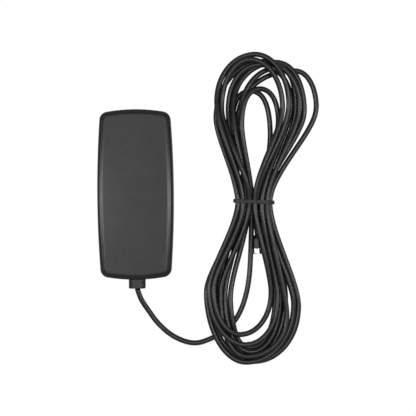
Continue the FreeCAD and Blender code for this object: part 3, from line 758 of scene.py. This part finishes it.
def twisted_end():
    """The ribbon's two ends twisted together: a section of two round lobes, turned once in each pitch along
    the twist. It lies flat on the surface under the hank."""
    y = np.linspace(TWIST_START_Y, TWIST_END_Y, 60)
    across = even_angles(TIE_SIDES)
    lobes = TWIST_RADIUS * MM * np.sqrt(TWIST_WAIST + (1 - TWIST_WAIST) * np.cos(across) ** 2)
    angle = across + (y[:, None] - TIE_Y) / TWIST_PITCH * 2 * np.pi
    section = np.stack([lobes * np.cos(angle), lobes * np.sin(angle)], -1)
    middle = np.column_stack([np.full(len(y), TIE_X), y, np.full(len(y), TWIST_RADIUS * MM)])
    return swept("tie_twist", middle, section, (0, 0, 1), tie_finish)


waist = tie_path(line, TIE_POINTS)
tie_ribbon = swept("tie_ribbon", waist, ribbon_section(TIE_SIDES), (0, 1, 0), tie_finish)
tie_twist = twisted_end()
tie_core = swept("tie_core", waist, circle(WIRE_RADIUS, WIRE_SIDES), (0, 1, 0), steel_wire)
for piece, slot_name in ((tie_ribbon, "tie_plastic"), (tie_twist, "tie_plastic"), (tie_core, "steel_wire")):
    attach(piece, "root")
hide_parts("twist_tie")
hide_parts("tie_wire")

# ----------------------------------------------------------------------------------------- the plug's sleeve

SLEEVE_REAR, SLEEVE_FRONT = -21.9, -29.1     # these are in millimetres: its two ends along Y
SLEEVE_SIDES = 48
SLEEVE_RADIUS = 1.78                         # over the lead
SHOULDER_LENGTH, SHOULDER_RISE = 2.3, 0.92   # up to the ferrule's width
STEP_STARTS = (2.5, 5.3)                     # from the rear: over the ferrule, and over the shell's barrel
STEP_LENGTH, STEP_RISE = 0.5, 0.05
EDGE_LENGTH, EDGE_DROP = 0.22, 0.20          # of the rounded edge at both ends
SLEEVE_BORE = ((SLEEVE_FRONT, 2.5), (-27.5, 2.5), (-27.5, 1.86), (-24.5, 1.86), (-24.5, 1.42),
               (SLEEVE_REAR, 1.42))          # places along Y and radii


def turned(name, profile, middle, sides, material):
    """A closed profile of places along Y and radii, in millimetres, turned round the axis through middle."""
    profile = np.array(profile) * MM
    angle = even_angles(sides)
    x = middle[0] + profile[:, 1, None] * np.cos(angle)
    z = middle[1] + profile[:, 1, None] * np.sin(angle)
    y = np.broadcast_to(profile[:, 0, None], x.shape)
    quads = ring_quads(len(profile), sides, closed=True)[:, [0, 3, 2, 1]]      # so that they face outwards
    return make_mesh(name, np.stack([x, y, z], -1).reshape(-1, 3), quads.tolist(), material)


def sleeve_profile():
    """The sleeve from its rear to the shell: a shoulder that eases from the lead's width to the ferrule's, a
    low step where it has shrunk over the ferrule and another over the shell's barrel, rounded edges, then
    the bore back to the rear."""
    y = np.linspace(SLEEVE_REAR, SLEEVE_FRONT, 56)
    depth = SLEEVE_REAR - y
    radius = SLEEVE_RADIUS + SHOULDER_RISE * ease(depth / SHOULDER_LENGTH) ** 0.8
    for start in STEP_STARTS:
        radius += STEP_RISE * ease((depth - start) / STEP_LENGTH)
    rounded = np.minimum(1, np.minimum(depth, SLEEVE_REAR - SLEEVE_FRONT - depth) / EDGE_LENGTH)
    radius -= EDGE_DROP * (1 - np.sqrt(1 - (1 - rounded) ** 2))
    return np.concatenate([np.column_stack([y, radius]), SLEEVE_BORE])


plug_low, plug_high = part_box("plug_shell")
plug_middle = ((plug_low[0] + plug_high[0]) / 2, (plug_low[2] + plug_high[2]) / 2)
plug_sleeve = turned("plug_sleeve", sleeve_profile(), plug_middle, SLEEVE_SIDES, sleeve_finish)
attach(plug_sleeve, "root")
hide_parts("plug_boot")

# ---------------------------------------------------------------------------------------- floor and lighting

def softbox(name, place, aim, size, power):
    """A rectangular area light at place, turned to aim."""
    panel = bpy.data.lights.new(name, "AREA")
    panel.shape = "RECTANGLE"
    panel.size, panel.size_y = size
    panel.energy = power
    lamp = bpy.data.objects.new(name, panel)
    lamp.location = place
    lamp.rotation_euler = (Vector(aim) - Vector(place)).to_track_quat("-Z", "Y").to_euler()
    bpy.context.scene.collection.objects.link(lamp)


WORLD_STRENGTH = 0.24        # the room's fill, beside three softboxes whose sizes are in metres
world = bpy.data.worlds.new("studio")
world.use_nodes = True
world.node_tree.nodes["Background"].inputs["Color"].default_value = linear("#ffffff")
world.node_tree.nodes["Background"].inputs["Strength"].default_value = WORLD_STRENGTH
bpy.context.scene.world = world
softbox("overhead", (0.04, 0.0, 1.1), (0.04, 0, 0), (0.9, 1.0), 2.2)
softbox("left_box", (-0.60, 0, 0.72), (0.0, 0, 0), (0.08, 1.2), 1.8)
softbox("right_box", (0.63, 0, 0.72), (0.03, 0, 0), (0.08, 1.2), 1.9)

SWEEP_RADIUS = 2.4           # of the flat floor
SWEEP_CURVE = 0.8            # of the curve that takes it up to the wall
SWEEP_HEIGHT = 3.0           # of the wall
SWEEP_DROP = 0.0002          # just under the object, so that its underside and the floor don't share a plane


def white_sweep(sides):
    """A studio floor that curves up into a round wall: a profile of radius and height turned round Z. It is
    an even white and shows no shadow, as overexposed white paper does."""
    finish = finish_of("white_sweep", Roughness=1.0, Base_Color=linear("#020202"), Specular_IOR_Level=0.0,
                       Emission_Color=linear("#ffffff"), Emission_Strength=1.0)[0]
    bend = np.linspace(-np.pi / 2, 0, 12)
    wall = SWEEP_RADIUS + SWEEP_CURVE
    radius = np.concatenate([[0.001], SWEEP_RADIUS + SWEEP_CURVE * np.cos(bend), [wall]])
    height = np.concatenate([[0], SWEEP_CURVE * (1 + np.sin(bend)), [SWEEP_HEIGHT]]) - SWEEP_DROP
    angle = even_angles(sides)
    points = np.stack([radius[:, None] * np.cos(angle), radius[:, None] * np.sin(angle),
                       np.broadcast_to(height[:, None], (len(radius), sides))], -1)
    faces = ring_quads(len(radius), sides).tolist() + [list(range(sides))]
    return make_mesh("white_sweep", points.reshape(-1, 3), faces, finish)


floor = white_sweep(48)
floor.visible_diffuse = False
floor.visible_glossy = False
